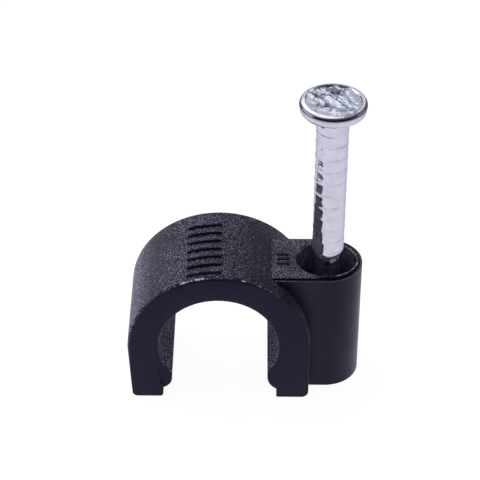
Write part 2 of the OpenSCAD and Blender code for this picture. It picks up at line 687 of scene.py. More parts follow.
FINISHES: dict[Face, Plastic] = {
    Face.SATIN: Plastic(
        "satin_plastic", dark=(0.0095, 0.009, 0.025), pale=(0.0145, 0.014, 0.033), cover=(0.0, 1.0),
        roughness=(0.36, 0.46), specular=0.19, pit_scale=5000.0, bump=3e-6),
    # Grain whose pale specks are painted glints.
    Face.GRAINED: Plastic(
        "grained_plastic_painted_glints", dark=(0.002, 0.002, 0.005), pale=(0.38, 0.363, 0.49), cover=(0.17, 1.0),
        roughness=(0.38, 0.52), specular=0.12, pit_scale=13500.0, bump=5e-5, sheen=0.10),
    # Painted highlights on round edges: stretches of the arch's edge, and the near right of the mouth.
    Face.EDGE: Plastic(
        "edge_painted_highlight", dark=(0.030, 0.030, 0.040), pale=(0.62, 0.60, 0.70), cover=(0.0, 0.42),
        roughness=(0.25, 0.4), specular=0.4, pit_scale=4000.0, bump=2e-5),
    # Painted light on the hook's inner walls: bright pale specks.
    Face.SEAT: Plastic(
        "seat_plastic_painted_light", dark=(0.014, 0.014, 0.028), pale=(0.74, 0.71, 0.92), cover=(0.10, 1.0),
        roughness=(0.5, 0.7), specular=0.05, pit_scale=12000.0, bump=7e-5),
    Face.GLOSS: Plastic(
        "gloss_plastic", dark=(0.006, 0.006, 0.012), pale=(0.012, 0.012, 0.02), cover=(0.0, 1.0),
        roughness=(0.18, 0.28), specular=0.7, pit_scale=5000.0, bump=4e-6),
    # Painted reflections on the bore's walls, and a painted highlight line on the boss's ledge.
    Face.BORE: Plastic(
        "bore_plastic_painted_reflection", dark=(0.043, 0.044, 0.066), pale=(0.166, 0.167, 0.23), cover=(0.0, 1.0),
        roughness=(0.25, 0.35), specular=0.4, pit_scale=3000.0, bump=1e-5),
    Face.SHADE: Plastic(
        "shade_plastic", dark=(0.002, 0.002, 0.004), pale=(0.006, 0.006, 0.010), cover=(0.0, 1.0),
        roughness=(0.4, 0.5), specular=0.05, pit_scale=5000.0, bump=3e-6),
    Face.BOSS: Plastic(
        "boss_plastic", dark=(0.003, 0.003, 0.012), pale=(0.006, 0.006, 0.018), cover=(0.0, 1.0),
        roughness=(0.36, 0.46), specular=0.28, pit_scale=5000.0, bump=3e-6, sheen=0.8),
    # The web's top, its marks and the bead: grain whose pale specks are painted glints; on the mouth's round
    # edge it is a painted highlight line.
    Face.TAB: Plastic(
        "tab_plastic_painted_glints", dark=(0.004, 0.004, 0.009), pale=(0.69, 0.67, 0.85), cover=(0.08, 1.0),
        roughness=(0.40, 0.55), specular=0.14, pit_scale=13500.0, bump=5e-5),
}


@dataclass(frozen=True)
class Zinc:
    """Bright zinc plating under a thin film, with fine drawing lines along the wire, and shade painted from a
    point attribute. Lengths in metres.
    """

    name: str = "bright_zinc"
    colour: Colour = (0.68, 0.68, 0.72)
    shade: Colour = (0.61, 0.61, 0.66)
    cloud_scale: float = 1400.0
    cloud_span: Flat = (0.35, 0.6)
    tint: Colour = (0.60, 0.60, 0.66)
    struck: Colour = (0.44, 0.48, 0.53)
    struck_roughness: float = 0.05
    scar_scale: float = 5000.0
    scar_depth: float = 2.4e-5
    # Colour of the painted shade.
    painted_shade_colour: Colour = (0.045, 0.036, 0.055)
    roughness: Flat = (0.06, 0.16)
    film: float = 0.93
    # Heights in the frame over which the shank goes from fully metallic, low down, to the film: painted shade
    # near and in the hole.
    metal_shade_z: Flat = (0.0049, 0.0059)
    line_stretch: Point = (1.0, 1.0, 0.06)
    line_scale: float = 9000.0
    line_depth: float = 4e-6

    def make(self) -> bpy.types.Material:
        """Builds the material.

        Returns:
            The material.
        """
        material, graph = Graph.material(self.name)
        place = graph.node("ShaderNodeTexCoord").outputs["Object"]
        struck = graph.node("ShaderNodeAttribute", attribute_name="struck").outputs["Fac"]
        painted_shade = graph.node("ShaderNodeAttribute", attribute_name="painted_shade").outputs["Fac"]
        surface = graph.node("ShaderNodeBsdfPrincipled", sockets={"Specular Tint": (*self.tint, 1.0)})
        cloud = graph.noise(place, self.cloud_scale, 3.0)
        plate = graph.ramp(cloud, [(self.cloud_span[0], self.shade), (self.cloud_span[1], self.colour)])
        plate = graph.blend(struck, plate, self.struck)
        # Painted shade: the point attribute darkens the plating.
        graph.link(graph.blend(painted_shade, plate, self.painted_shade_colour), surface.inputs["Base Color"])
        # Painted shade: fully metallic low on the shank, near and in the hole, which keeps it dark there.
        film = graph.span(graph.axes(place).outputs["Z"], *self.metal_shade_z, low=1.0, high=self.film)
        graph.link(film, surface.inputs["Metallic"])
        rough = graph.span(cloud, 0.0, 1.0, *self.roughness)
        rough = graph.plus(rough, graph.times(struck, self.struck_roughness))
        graph.link(rough, surface.inputs["Roughness"])
        lines = graph.noise(graph.mapped(place, Scale=self.line_stretch), self.line_scale, 3.0)
        drawn = graph.bump(lines, self.line_depth)
        scars = graph.bump(graph.times(graph.noise(place, self.scar_scale, 2.0), struck), self.scar_depth)
        graph.link(drawn.outputs["Normal"], scars.inputs["Normal"])
        graph.link(scars.outputs["Normal"], surface.inputs["Normal"])
        graph.show(surface.outputs["BSDF"])
        return material


@dataclass
class Clip:
    """The moulded clip: hook, lips, web and boss in one piece. Sizes in millimetres above the wall face."""

    seat_r: float = 3.4
    seat_h: float = SEAT_H
    outer_r: float = 5.14
    outer_h: float = 3.53
    depth: float = 6.14
    leg_lean: float = 0.2
    free_corner_r: float = 0.3
    boss_corner_r: float = 0.4
    lip_r: float = 3.32
    free_crest_x: float = 2.66
    boss_crest_x: float = 2.78
    foot_step: float = 0.52
    foot_h: float = 0.62
    foot_r: float = 0.18
    under_share: float = 0.68
    ramp_angle: float = 20.0
    lip_set: float = 0.09
    lip_front: tuple[Flat, ...] = ((-3.20, 2.60), (-3.40, 2.15), (-3.42, 1.60), (-3.33, 1.05), (-3.17, 0.60),
                                   (-2.0, 0.55), (-2.0, 2.4))
    edge: float = 0.07
    arch_edge: float = 0.28
    arch_edge_angle: Flat = (50.0, 90.0)
    free_edge_h: float = 0.8
    rim_band: float = 0.25
    # Stretches of the arch's edge, along X, that carry a painted highlight.
    edge_highlight_x: tuple[Flat, ...] = ((-2.2, -0.5), (1.3, 3.4))
    nail_x: float = NAIL_X
    boss_r: float = 1.97
    boss_h: float = 7.73
    boss_ledge: float = 0.12
    boss_step: float = 0.11
    boss_edge: float = 0.06
    ledge_edge: float = 0.024
    rim_x: float = 5.6
    mouth_x: float = 6.02
    mouth_r: float = 1.65
    mouth_edge: float = 0.16
    mouth_squash: float = 0.9
    # Where the mouth's round edge carries its brighter painted highlight: beyond this X from the mouth's
    # centre and in front of this Y.
    mouth_highlight: Flat = (0.3, -0.35)
    hole_r: float = 0.93
    grip_h: float = 3.0
    exit_bevel: float = 0.2
    over: float = 0.5
    witness_x: float = 2.95
    witness_r: float = 0.025
    bar_count: int = 7
    bar_pitch: float = 0.72
    bar_width: float = 0.34
    bar_rise: float = 0.15
    bar_root: float = 0.3
    bar_edge: float = 0.06
    bar_first: float = 0.62
    bar_middle: float = -0.83
    bar_half: float = 0.98
    mark_count: int = 3
    mark_x: Flat = (3.25, 3.95)
    mark_y: float = -0.55
    mark_pitch: float = 0.42
    mark_width: float = 0.16
    mark_rise: float = 0.07
    mark_root: float = 0.1
    mark_edge: float = 0.025
    raised: float = 5e-3
    smooth_angle: float = 32.0
    piece: bpy.types.Object = field(default=None, init=False)

    def leg(self, lean: float, corner_r: float) -> list[Flat]:
        """The outer face of a leg on the +X side, from the foot's flat up to the arch.

        Args:
            lean: How far the foot stands inwards of the arch.
            corner_r: Radius of the foot's outer corner.

        Returns:
            The points in X and Z.
        """
        tilt = math.atan(lean / self.outer_h)
        corner_x = self.outer_r - lean * (1 - corner_r / self.outer_h) - corner_r / math.cos(tilt)
        return arc((corner_x, corner_r), corner_r, -90.0, -math.degrees(tilt), 6)

    def lip(self, crest_x: float, corner_r: float) -> list[Flat]:
        """A lip on the +X side, from the ramp's top down to the wall face, round the foot's inner corner.

        Args:
            crest_x: Where the lip's crest stands.
            corner_r: Radius of the foot's inner corner, or zero for a sharp one.

        Returns:
            The points in X and Z.
        """
        crest_top = self.seat_h - math.sqrt(self.lip_r ** 2 - crest_x ** 2)
        crest_low = self.foot_h + self.under_share * (crest_top - self.foot_h)
        rise = crest_low - self.foot_h
        under_r = (self.foot_step ** 2 + rise ** 2) / (2 * self.foot_step)
        stop = 180.0 + math.degrees(math.asin(rise / under_r))
        under = arc((crest_x + under_r, crest_low), under_r, 180.0, stop, 8)
        foot_x = crest_x + self.foot_step
        corner = [(foot_x, 0.0)]
        if corner_r:
            corner = arc((foot_x + corner_r, corner_r), corner_r, 180.0, 270.0, 5)
        return [(crest_x, crest_top), *under, *corner]

    def section(self) -> list[Flat]:
        """The hook's whole outline, anticlockwise from the boss leg's foot.

        Returns:
            The points in X and Z.
        """
        boss_leg = self.leg(0.0, self.boss_corner_r)
        free_foot = self.leg(self.leg_lean, self.free_corner_r)
        low_x, low_z = free_foot[-1]
        wide, high, steps = self.outer_r - low_x, self.outer_h - low_z, 10
        rise = [(low_x + wide * k / steps, low_z + high * k / steps) for k in range(1, steps)]
        free_leg = [(-x, z) for x, z in (*free_foot, *rise)]
        arch = arc((0.0, self.outer_h), self.outer_r, 0.0, 180.0, 150)
        free_lip = [(-x, z) for x, z in self.lip(self.free_crest_x, self.foot_r)]
        seat = arc((0.0, self.seat_h), self.seat_r, 180.0 + self.ramp_angle, -self.ramp_angle, 88)
        boss_lip = self.lip(self.boss_crest_x, 0.0)
        return [*boss_leg, *arch, *reversed(free_leg), *reversed(free_lip), *seat, *boss_lip]

    def edge_share(self, x: float, y: float, z: float) -> float:
        """How round the rim of the front or back face is at a place, as a share of the arch's edge.

        Args:
            x: The place along X.
            y: The place along Y.
            z: The place above the wall face.

        Returns:
            The share, from the small edge's up to 1.
        """
        small = self.edge / self.arch_edge
        if y > 0 or math.hypot(x, z - self.outer_h) < self.outer_r - self.rim_band:
            return small
        if z >= self.outer_h:
            start, stop = self.arch_edge_angle
            angle = math.degrees(math.atan2(z - self.outer_h, x))
            return small + (1.0 - small) * clamp((angle - start) / (stop - start))
        if x < 0:
            up = clamp((z - self.free_edge_h) / (self.outer_h - self.free_edge_h))
            return small + (1.0 - small) * up ** 2
        return small

    def hook(self) -> bpy.types.Object:
        """Models the hook: its outline, extruded along the cable, with edges that are rounder over the arch.

        Returns:
            The hook.
        """
        near = -self.depth / 2
        outline = [(x, near, z) for x, z in self.section()]
        hook = Bench.plate("clip_moulding", outline, (0.0, self.depth, 0.0))
        mesh = bmesh.new()
        mesh.from_mesh(hook.data)
        weight = mesh.edges.layers.float.new("bevel_weight_edge")
        for edge in mesh.edges:
            middle = (edge.verts[0].co + edge.verts[1].co) / 2
            if edge.calc_face_angle() > math.radians(35.0):
                rim = abs(abs(middle.y) - self.depth / 2) < SAME
                edge[weight] = self.edge_share(*middle) if rim else self.edge / self.arch_edge
        mesh.to_mesh(hook.data)
        mesh.free()
        Bench.activate(hook)
        step = hook.modifiers.new("soften", "BEVEL")
        step.width = self.arch_edge
        step.segments = 4
        step.limit_method = "WEIGHT"
        step.use_clamp_overlap = False
        bpy.ops.object.modifier_apply(modifier=step.name)
        bpy.ops.object.mode_set(mode="EDIT")
        beside_boss = self.boss_r + 0.04
        for side in (-beside_boss, beside_boss):
            Bench.slice((0.0, side, 0.0), (0.0, 1.0, 0.0))
        Bench.clear()
        return hook

    def on_ledge_rim(self, edge: bmesh.types.BMEdge) -> bool:
        """Whether an edge of the boss runs round the outside of its ledge.

        Args:
            edge: The edge.

        Returns:
            True if both its ends lie there.
        """
        ledge = self.boss_h - self.boss_step
        rim = self.boss_r - 0.3 * self.boss_ledge
        ends = [v.co for v in edge.verts]
        level = all(abs(end.z - ledge) < SAME and end.x > 0.1 for end in ends)
        return level and all(max(abs(end.y), math.hypot(end.x - self.nail_x, end.y)) > rim for end in ends)

    def boss(self) -> bpy.types.Object:
        """Models the boss with the web that joins it to the hook's wall, up to the middle of that wall.

        Returns:
            The boss, without its hole.
        """
        round_end = [(x, y, 0.0) for x, y in arc((self.nail_x, 0.0), self.boss_r, -90.0, 90.0, 48)]
        outline = [(0.0, -self.boss_r, 0.0), *round_end, (0.0, self.boss_r, 0.0)]
        boss = Bench.plate("boss", outline, (0.0, 0.0, self.boss_h - self.boss_step))
        Bench.pick(boss, Pick.FACES, lambda f: f.normal.z > 0.9)
        bpy.ops.mesh.inset(thickness=self.boss_ledge)
        bpy.ops.mesh.extrude_region_move(TRANSFORM_OT_translate={"value": (0.0, 0.0, self.boss_step)})
        Bench.pick(boss, Pick.EDGES, lambda e: all(v.co.z > self.boss_h - SAME for v in e.verts))
        bpy.ops.mesh.bevel(offset=self.boss_edge, segments=3, affect="EDGES")
        Bench.pick(boss, Pick.EDGES, self.on_ledge_rim)
        bpy.ops.mesh.bevel(offset=self.ledge_edge, segments=3, affect="EDGES")
        Bench.slice((self.rim_x, 0.0, 0.0), (1.0, 0.0, 0.0))
        core_r = (self.seat_r + self.outer_r) / 2
        core = [(core_r, -1.0), *arc((0.0, self.seat_h), core_r, 0.0, 180.0, 64), (-core_r, -1.0)]
        half = self.depth
        cutter = Bench.plate("core", [(x, -half, z) for x, z in core], (0.0, 2 * half, 0.0))
        Bench.combine(boss, cutter, Join.CUT)
        return boss

    def witness(self) -> bpy.types.Object:
        """Models the thin bead that the mould leaves where the top of the web meets the arch.

        Returns:
            The bead.
        """
        height = self.outer_h + math.sqrt(self.outer_r ** 2 - self.witness_x ** 2)
        half = self.boss_r - self.boss_ledge
        bead = arc((self.witness_x, height), self.witness_r, 0.0, 330.0, 11)
        return Bench.plate("witness", [(x, -half, z) for x, z in bead], (0.0, 2 * half, 0.0))

    def recess(self) -> bpy.types.Object:
        """Models the cutter that sets the front of the free lip back from the hook's front face.

        Returns:
            The cutter.
        """
        near = -self.depth / 2 - self.over
        outline = [(x, near, z) for x, z in self.lip_front]
        return Bench.plate("recess", outline, (0.0, self.over + self.lip_set, 0.0))

    def hole(self) -> bpy.types.Object:
        """Models the cutter for the nail hole, with a round edge at its mouth, which is a little oval.

        Returns:
            The cutter.
        """
        rim_r = self.mouth_r + self.mouth_edge
        top = self.boss_h + self.over
        lip = arc((rim_r, self.boss_h - self.mouth_edge), self.mouth_edge, 180.0, 90.0, 5)
        profile = [(0.0, -self.over), (self.hole_r + self.exit_bevel + self.over, -self.over),
                   (self.hole_r, self.exit_bevel), (self.hole_r, self.grip_h), *lip, (rim_r, top), (0.0, top)]
        hole = Bench.turn("hole", profile, self.nail_x, 96)
        Bench.pick(hole, Pick.FACES, lambda f: min(v.co.z for v in f.verts) > self.grip_h + 0.1)
        centre = (self.mouth_x, 0.0, 0.0)
        bpy.ops.transform.translate(value=(self.mouth_x - self.nail_x, 0.0, 0.0))
        bpy.ops.transform.resize(value=(1.0, self.mouth_squash, 1.0), center_override=centre)
        Bench.clear()
        return hole

    def bars(self) -> list[bpy.types.Object]:
        """Models the raised bars on the crown: one bar, copied along the cable.

        Returns:
            The bars.
        """
        middle = 90.0 - math.degrees(math.asin(self.bar_middle / self.outer_r))
        half = math.degrees(self.bar_half / self.outer_r)
        centre = (0.0, self.outer_h)
        low = arc(centre, self.outer_r - self.bar_root, middle - half, middle + half, 14)
        high = arc(centre, self.outer_r + self.bar_rise, middle + half, middle - half, 14)
        first = self.bar_first - self.depth / 2 - self.bar_width / 2
        bar = Bench.plate("bar", [(x, first, z) for x, z in (*low, *high)], (0.0, self.bar_width, 0.0))
        Bench.soften(bar, self.bar_edge, 3)
        return Bench.row(bar, self.bar_count, self.bar_pitch)

    def marks(self) -> list[bpy.types.Object]:
        """Models the short raised bars on the web's top: one bar, copied along the cable.

        Returns:
            The bars.
        """
        low_x, high_x = self.mark_x
        near, far = self.mark_y, self.mark_y + self.mark_width
        root = self.boss_h - self.mark_root
        outline = [(low_x, near, root), (high_x, near, root), (high_x, far, root), (low_x, far, root)]
        mark = Bench.plate("mark", outline, (0.0, 0.0, self.mark_root + self.mark_rise))
        Bench.soften(mark, self.mark_edge, 2)
        return Bench.row(mark, self.mark_count, self.mark_pitch)

    def build(self) -> bpy.types.Object:
        """Models the whole moulding and carries it to the frame.

        Returns:
            The moulding.
        """
        self.piece = self.hook()
        Bench.combine(self.piece, self.recess(), Join.CUT)
        Bench.combine(self.piece, self.boss(), Join.ADD)
        Bench.combine(self.piece, self.witness(), Join.ADD)
        for bar in (*self.bars(), *self.marks()):
            Bench.combine(self.piece, bar, Join.ADD)
        Bench.combine(self.piece, self.hole(), Join.CUT)
        Bench.to_frame(self.piece, self.smooth_angle)
        return self.piece

    def edge_finish_and_highlight(self, x: float, z: float, side: float) -> Face:
        """Which finish a face of the arch's round edge has, with a painted highlight (EDGE) along two
        stretches of the edge.

        Args:
            x: The face's place along X.
            z: Its height above the wall face.
            side: How far it faces along the cable.

        Returns:
            The finish.
        """
        if z < self.outer_h or x > self.outer_r * 0.9 or side > 0.7:
            return Face.SATIN
        # A painted highlight on two stretches of the edge.
        highlighted = any(low < x < high for low, high in self.edge_highlight_x)
        return Face.EDGE if side > 0.4 and highlighted else Face.GRAINED

    def mouth_finish_and_highlight(self, x: float, y: float, z: float, up: float) -> Face:
        """Which finish a face inside the nail hole has: painted highlight lines on the mouth's round edge,
        gloss below them, and the bore's painted reflections further down.

        Args:
            x: The face's place along X.
            y: Its place along Y.
            z: Its height above the wall face.
            up: How far it faces up.

        Returns:
            The finish.
        """
        # Painted highlight lines on the mouth's round edge: EDGE at the near right, TAB elsewhere.
        near_right = x > self.mouth_x + self.mouth_highlight[0] and y < self.mouth_highlight[1]
        if z > self.boss_h - 0.9 * self.mouth_edge and up > (0.25 if near_right else 0.85):
            return Face.EDGE if near_right else Face.TAB
        return Face.GLOSS if z > self.boss_h - 1.5 * self.mouth_edge else Face.BORE

    def finish_of(self, centre: Vector, normal: Vector) -> Face:
        """Which finish a face of the moulding has, painted light and shade included.

        Args:
            centre: The face's middle, in the frame.
            normal: The way that it faces.

        Returns:
            The finish.
        """
        x, y, z = (c / MM for c in centre)
        z += self.seat_h
        side = abs(normal.y)
        from_face = self.depth / 2 - abs(y)
        reach = math.hypot(x, z - self.outer_h)
        if from_face < 0.2 and side > 0.95:
            return Face.SATIN
        if from_face < self.arch_edge and side > 0.05 and reach > self.outer_r - self.arch_edge:
            return self.edge_finish_and_highlight(x, z, side)
        if from_face < 1.2 * self.edge and side > 0.05:
            return Face.SATIN
        if abs(x - self.witness_x) < 1.5 * self.witness_r and reach > self.outer_r + 0.6 * self.raised:
            return Face.TAB
        if reach > self.outer_r + self.raised and z > self.boss_h + self.raised and x < self.mark_x[1] + 0.25:
            return Face.SATIN if side > 0.4 else Face.GRAINED
        # Flat tops: TAB, with painted glints, on the web and its marks; painted shade (SHADE) on the rim
        # round the mouth.
        if normal.z > 0.97 and z > self.boss_h - 0.6 * self.raised and x > self.witness_x:
            return Face.TAB if x < self.rim_x or z > self.boss_h + 2 * self.raised else Face.SHADE
        if math.hypot(x - self.mouth_x, y / self.mouth_squash) < self.mouth_r + self.mouth_edge:
            return self.mouth_finish_and_highlight(x, y, z, normal.z)
        # The boss's step: painted shade (SHADE) on its wall and round edges, and a painted highlight line
        # (BORE) on the ledge.
        if z > self.boss_h - self.boss_step - 0.05 and reach > self.outer_r + 2 * self.raised:
            on_ledge = z < self.boss_h - 0.8 * self.boss_step and normal.z > 0.2
            return Face.BORE if on_ledge else Face.SHADE
        if x > self.outer_r - 0.05 or (x > self.witness_x + 0.05 and side > 0.3):
            return Face.BOSS
        # The hook's inner walls get painted light (SEAT).
        if reach < self.outer_r - 0.3 and abs(x) < self.seat_r + 0.05:
            return Face.SEAT
        return Face.GRAINED

    def dress(self, finishes: dict[Face, bpy.types.Material]) -> None:
        """Gives each face its finish, and fastens the piece to the frame.

        Args:
            finishes: The material of each finish.
        """
        for face in Face:
            self.piece.data.materials.append(finishes[face])
        for polygon in self.piece.data.polygons:
            polygon.material_index = self.finish_of(polygon.center, polygon.normal).value
        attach(self.piece, BODY)
        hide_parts("clip_body")


@dataclass
class Nail:
    """The nail: a struck head with a cone under it, a ringed shank and a four-sided point, in millimetres."""

    axis_x: float = NAIL_X
    tip_z: float = 0.35
    length: float = 18.0
    shank_r: float = 0.9
    head_rise: float = 1.2
    crown_r: float = 1.53
    rim: tuple[Flat, ...] = (
        (1.0, 1.0), (1.35, 0.83), (1.62, 0.69), (1.715, 0.64), (1.755, 0.61), (1.778, 0.57), (1.79, 0.50),
        (1.802, 0.42), (1.815, 0.33), (1.825, 0.25), (1.818, 0.20), (1.80, 0.15), (1.775, 0.105),
        (1.745, 0.075), (1.71, 0.056), (1.66, 0.041), (1.60, 0.022), (1.53, 0.0))
    rim_shade: Flat = (0.15, 0.115)
    cone_line: Flat = (0.615, 0.03)
    wall_r: float = 1.70
    face_rings: int = 36
    face_drop: float = 0.085
    face_band: float = 0.3
    ring_pitch: float = 0.78
    ring_depth: float = 0.02
    ring_step: float = 0.07
    ring_low: float = 4.4
    ring_wander: float = 0.05
    ring_points: int = 8
    plain: float = 0.6
    rolled_from: float = 3.0
    deep_z: Flat = (10.5, 13.5)
    point_angle: float = 20.0
    steps: int = 128
    blows: tuple[Mark, ...] = (
        Mark(-0.28, 0.46, 0.40, -0.36, 0.085, 0.13),
        Mark(-0.62, -0.74, 0.10, -0.86, 0.07, 0.11),
        Mark(0.10, -0.88, 1.05, -0.80, 0.05, 0.10),
        Mark(-0.40, 1.12, 0.15, 1.34, 0.08, 0.12),
        Mark(0.25, 1.28, 0.95, 0.98, 0.05, 0.10),
        Mark(-1.32, 0.80, -1.02, 0.40, 0.08, 0.10),
        Mark(-0.72, 0.22, -0.45, -0.15, 0.06, 0.09),
        Mark(-0.30, -0.38, 0.02, -0.52, -0.10, 0.16),
        Mark(-0.92, 0.62, -0.62, 0.50, -0.09, 0.14),
        Mark(0.05, 0.98, 0.55, 0.86, -0.10, 0.15),
        Mark(-0.75, -0.25, -0.45, -0.48, -0.08, 0.13),
    )
    gouges: int = 30
    gouge_reach: float = 1.35
    gouge_slant: Flat = (-38.0, 22.0)
    gouge_half: Flat = (0.08, 0.26)
    gouge_rise: Flat = (0.02, 0.045)
    gouge_width: Flat = (0.05, 0.075)
    smooth_angle: float = 24.0
    feet: list[float] = field(default_factory=list, init=False)
    piece: bpy.types.Object = field(default=None, init=False)

    @property
    def top(self) -> float:
        """Height of the head's highest point above the wall face."""
        return self.tip_z + self.length

    @property
    def ring_top(self) -> float:
        """Height of the highest ring above the tip."""
        return self.length - self.head_rise - self.plain

    def ring_feet(self) -> list[float]:
        """Where each ring's foot is, a little uneven.

        Returns:
            The heights above the tip, from the lowest up.
        """
        wander = random.Random(7)
        count = int((self.ring_top - self.ring_low) / self.ring_pitch)
        even = [self.ring_top - i * self.ring_pitch for i in reversed(range(count))]
        return [z + wander.uniform(-self.ring_wander, self.ring_wander) for z in even]

    def profile(self) -> list[Flat]:
        """The nail's half section from the tip up, with the shank still blunt.

        Returns:
            The radius and the height of each point.
        """
        point = self.shank_r / math.tan(math.radians(self.point_angle))
        rings = []
        for z in self.feet:
            low = z - self.ring_pitch + self.ring_step
            span = z - self.ring_step - low
            for k in range(self.ring_points + 1):
                t = k / self.ring_points
                rings.append((self.shank_r - self.ring_depth * (1 - t ** 2), low + span * t))
            rings.append((self.shank_r - self.ring_depth, z))
        heights = (self.ring_top + 0.06, self.ring_top + 0.3, self.length - self.head_rise)
        neck = [(self.shank_r, z) for z in heights]
        edge = [(r, self.length - drop) for r, drop in self.rim]
        floor = self.length - self.face_drop
        face = [(self.crown_r * (1 - k / self.face_rings), floor) for k in range(1, self.face_rings)]
        tip = [(0.0, 0.0), (self.shank_r, 0.0), (self.shank_r, point)]
        return [(r, z + self.tip_z) for r, z in (*tip, *rings, *neck, *edge, *face, (0.0, floor))]

    def scratches(self) -> list[Mark]:
        """Short gouges across the struck face, most of them along one slant.

        Returns:
            The gouges.
        """
        draw = random.Random(11)
        marks = []
        for _ in range(self.gouges):
            r = self.gouge_reach * math.sqrt(draw.random())
            turn = draw.uniform(0.0, 2 * math.pi)
            slant = math.radians(draw.gauss(*self.gouge_slant))
            half = draw.uniform(*self.gouge_half)
            rise = draw.choice((-1, 1)) * draw.uniform(*self.gouge_rise)
            width = draw.uniform(*self.gouge_width)
            x, y = r * math.cos(turn), r * math.sin(turn)
            dx, dy = half * math.cos(slant), half * math.sin(slant)
            marks.append(Mark(x - dx, y - dy, x + dx, y + dy, rise, width))
        return marks

    def crumple(self, x: float, y: float, marks: Iterable[Mark]) -> float:
        """How high the struck face stands at a place, from its marks and a fine noise.

        Args:
            x: The place along X, from the axis.
            y: The place along Y.
            marks: The ridges and gouges.

        Returns:
            The height over the flat face.
        """
        slant = Vector((x + 0.8 * y, (y - 0.8 * x) * 0.6, 3.0))
        height = 0.07 * noise.turbulence(slant * 1.5, 3, True) - 0.04
        height += 0.018 * noise.noise(slant * 4.0) + 0.008 * noise.noise(Vector((x, y, 7.0)) * 8.0)
        wave = 0.06 * noise.noise(Vector((x, y, 11.0)) * 3.0)
        for mark in marks:
            along = Vector((mark.x1 - mark.x0, mark.y1 - mark.y0))
            t = clamp(Vector((x - mark.x0, y - mark.y0)).dot(along) / along.length_squared)
            off = math.hypot(x - mark.x0 - along.x * t, y - mark.y0 - along.y * t) + wave
            height += mark.rise * math.exp(-((off / mark.width) ** 2))
        return height

    def rolled_r(self, x: float, y: float, z: float) -> float:
        """The shank's radius at a place, with uneven rings, most so on the side that the die gripped.

        Args:
            x: The place along X, from the axis.
            y: The place along Y.
            z: The place above the wall face.

        Returns:
            The radius.
        """
        r = math.hypot(x, y)
        spot = Vector((x, y, z * 1.3))
        ring = round((self.tip_z + self.ring_top - z) / self.ring_pitch + 0.45)
        grip = clamp((-x / r - 0.2) / 0.4)
        low, high = self.deep_z
        deep = clamp((z - low) / (high - low))
        share = 0.5 + grip * (0.7 * deep - 0.05) + 0.4 * noise.noise(Vector((x, y, 5.3 * ring)))
        uneven = 0.016 * noise.noise(spot * 2.3) + 0.006 * noise.noise(spot * 5.0)
        chatter = 0.004 + (0.010 + uneven) * grip
        return self.shank_r - max(0.0, (self.shank_r - r) * share) - max(0.0, chatter)

    def forge(self) -> None:
        """Crumples the struck face, and makes the rings uneven."""
        neck = self.top - self.head_rise
        marks = [*self.blows, *self.scratches()]
        for vertex in self.piece.data.vertices:
            x, y, z = vertex.co.x - self.axis_x, vertex.co.y, vertex.co.z
            r = math.hypot(x, y)
            if z > self.top - self.face_drop - 0.01 and r < self.crown_r + 0.2:
                fade = clamp((self.crown_r + 0.12 - r) / 0.16)
                vertex.co.z = min(self.top, z + self.crumple(x, y, marks) * fade)
            elif r > self.shank_r / 2 and self.tip_z + self.rolled_from < z < neck - 0.2:
                share = self.rolled_r(x, y, z) / r
                vertex.co.x = self.axis_x + x * share
                vertex.co.y = y * share

    def sharpen(self) -> None:
        """Cuts the blunt end to a point with four flats."""
        angle = math.radians(self.point_angle)
        Bench.activate(self.piece)
        bpy.ops.object.mode_set(mode="EDIT")
        for i in range(4):
            turn = math.radians(45.0 + 90.0 * i)
            normal = (math.cos(angle) * math.cos(turn), math.cos(angle) * math.sin(turn), -math.sin(angle))
            Bench.slice((self.axis_x, 0.0, self.tip_z), normal, cut_off=True)
        Bench.clear()

    def painted_shade_at(self, x: float, y: float, z: float) -> float:
        """How much painted shade the plating has at a place: in the struck face's pits, a dark band round the
        head's edge, a dark line where the head's side meets its cone, and along the rings.

        Args:
            x: The place along X, from the axis.
            y: The place along Y.
            z: The place above the wall face.

        Returns:
            The share of painted shade.
        """
        r = math.hypot(x, y)
        drop = self.top - z
        # Painted shade in the pits of the struck face, in place of dark reflections.
        if drop < self.face_band and r < self.crown_r:
            return 0.75 * clamp((drop - self.face_drop - 0.01) / 0.09)
        # Painted dark reflection: a band round the head's edge.
        if drop < 0.27 and r > self.wall_r:
            middle, half = self.rim_shade
            return 0.9 * clamp((half - abs(drop - middle)) / 0.04)
        # Painted dark reflection: a line where the head's side meets its cone.
        if r > self.wall_r and abs(drop - self.cone_line[0]) < self.cone_line[1]:
            return 0.6
        # Painted shade along each ring's foot.
        on_ring = any(abs(z - self.tip_z - foot) < SAME for foot in self.feet)
        if drop > self.head_rise + 0.3 and on_ring:
            return max(0.0, 0.16 + 0.5 * noise.noise(Vector((x, y, z)) * 2.2))
        return 0.0

    def painted_shade(self) -> None:
        """Writes at each point how much painted shade the plating has, and how far it is struck."""
        dark = self.piece.data.attributes.new("painted_shade", "FLOAT", "POINT")
        struck = self.piece.data.attributes.new("struck", "FLOAT", "POINT")
        for vertex in self.piece.data.vertices:
            x, y, z = vertex.co.x - self.axis_x, vertex.co.y, vertex.co.z
            dark.data[vertex.index].value = self.painted_shade_at(x, y, z)
            if z > self.top - self.face_band:
                struck.data[vertex.index].value = clamp((self.crown_r + 0.06 - math.hypot(x, y)) / 0.08)

    def build(self) -> bpy.types.Object:
        """Models the nail and carries it to the frame.

        Returns:
            The nail.
        """
        self.feet = self.ring_feet()
        self.piece = Bench.turn("zinc_nail", self.profile(), self.axis_x, self.steps)
        self.forge()
        self.sharpen()
        self.painted_shade()
        Bench.to_frame(self.piece, self.smooth_angle)
        return self.piece

    def dress(self, zinc: bpy.types.Material) -> None:
        """Gives the nail its plating, and fastens it to the frame.

        Args:
            zinc: The plating.
        """
        self.piece.data.materials.append(zinc)
        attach(self.piece, BODY)
        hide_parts("nail")


